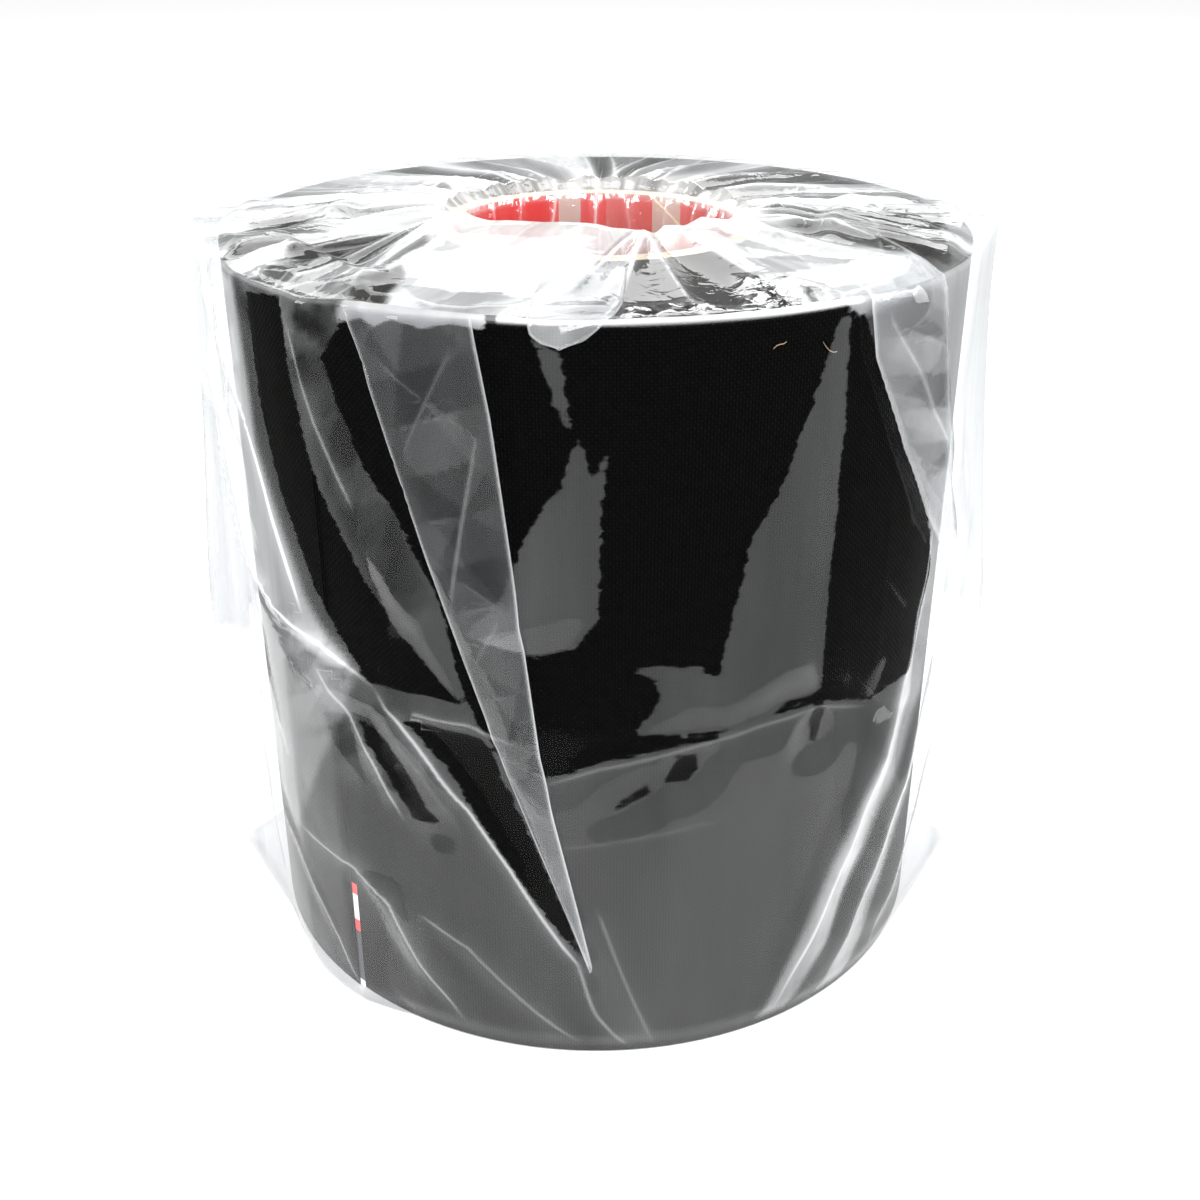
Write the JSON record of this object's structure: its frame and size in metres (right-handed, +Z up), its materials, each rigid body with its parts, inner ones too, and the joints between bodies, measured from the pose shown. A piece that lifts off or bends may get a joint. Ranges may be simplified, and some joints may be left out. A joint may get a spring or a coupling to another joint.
{
  "type": "electrical tape roll",
  "caption": "Wide roll of black cloth electrical tape on a spiral paper core, in a clear film bag whose mouth is tucked into the core.",
  "frame": {"origin": "centre of the bag's flat underside, on the core's axis, on the surface that the roll stands on", "axes": "+Z up along the core's axis; -Y is the front, where the tape's free end lies left of the middle; +X is the right-hand side crease of the bag"},
  "size_m": [0.1142, 0.103, 0.1005],
  "materials": {
    "liner_paper": "satin red printed paper with pale bands",
    "core_board": "matt board, cream at its cut edge",
    "wrap_paper": "smooth kraft paper",
    "tape_cloth": "fine woven black cloth with a slight sheen",
    "tape_adhesive": "satin black rubber adhesive",
    "tab_paper": "red and white printed paper",
    "bag_film": "clear glossy film"
  },
  "bodies": {
    "wrapped_roll": {"core_liner": "liner_paper", "core_ply_1": "core_board", "core_ply_2": "core_board", "core_ply_3": "core_board", "core_ply_4": "core_board", "core_wrap": "wrap_paper", "tape_turns": "tape_cloth", "last_turn_adhesive": "tape_adhesive", "last_turn_cloth": "tape_cloth", "bag_bottom": "bag_film", "bag_sleeve": "bag_film"},
    "tape_end": {"tape_end_adhesive": "tape_adhesive", "tape_end_cloth": "tape_cloth", "starter_tab": "tab_paper"},
    "bag_mouth": {"bag_mouth_fold": "bag_film", "bag_mouth_tuck": "bag_film"}
  },
  "joints": [
    {"name": "tape_end_peel", "type": "hinge", "parent": "wrapped_roll", "child": "tape_end", "pos_m": [-0.0405, -0.0284, 0.0501], "axis": [0, 0, -1], "range_deg": [0, 8]},
    {"name": "bag_mouth_lift", "type": "slide", "parent": "wrapped_roll", "child": "bag_mouth", "axis": [0, 0, 1], "range_m": [0, 0.02]}
  ]
}
